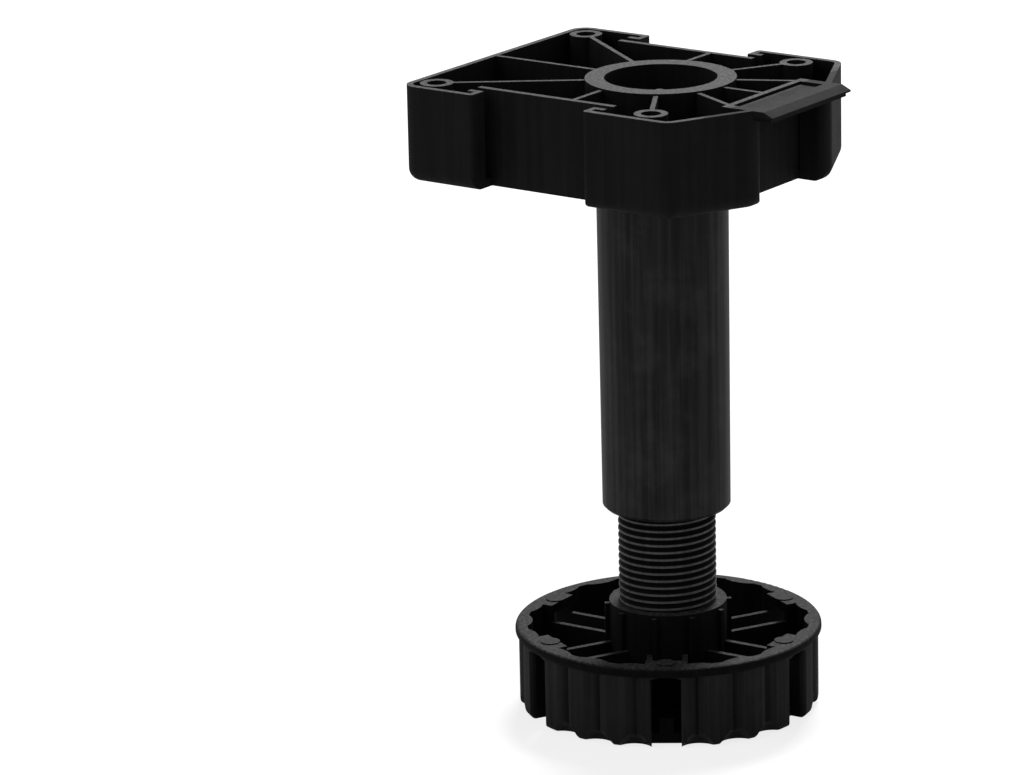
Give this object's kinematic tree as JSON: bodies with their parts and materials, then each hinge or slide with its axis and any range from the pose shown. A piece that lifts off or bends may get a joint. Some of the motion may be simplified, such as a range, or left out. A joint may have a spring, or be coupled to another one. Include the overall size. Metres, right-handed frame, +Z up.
{
  "type": "adjustable cabinet leg",
  "caption": "Black plastic cabinet leg: ribbed square head tray with screw bosses and side clip tracks, round tube, and a threaded foot with a scalloped dish that sets its height.",
  "frame": {"origin": "on the tube's axis at the underside of the foot, with the foot at the picture's setting", "axes": "+Z up along the tube to the head, +X to the side of the head with the support tab, +Y to the left of it"},
  "size_m": [0.0897, 0.0728, 0.1521],
  "materials": {
    "body_plastic": "satin black, fine mould grain",
    "foot_plastic": "satin black, fine mould grain"
  },
  "bodies": {
    "leg_body": {"leg_body": "body_plastic"},
    "foot": {"foot": "foot_plastic"}
  },
  "joints": [
    {"name": "height_adjust", "type": "slide", "parent": "leg_body", "child": "foot", "axis": [0, 0, -1], "range_m": [-0.023, 0.02]}
  ]
}
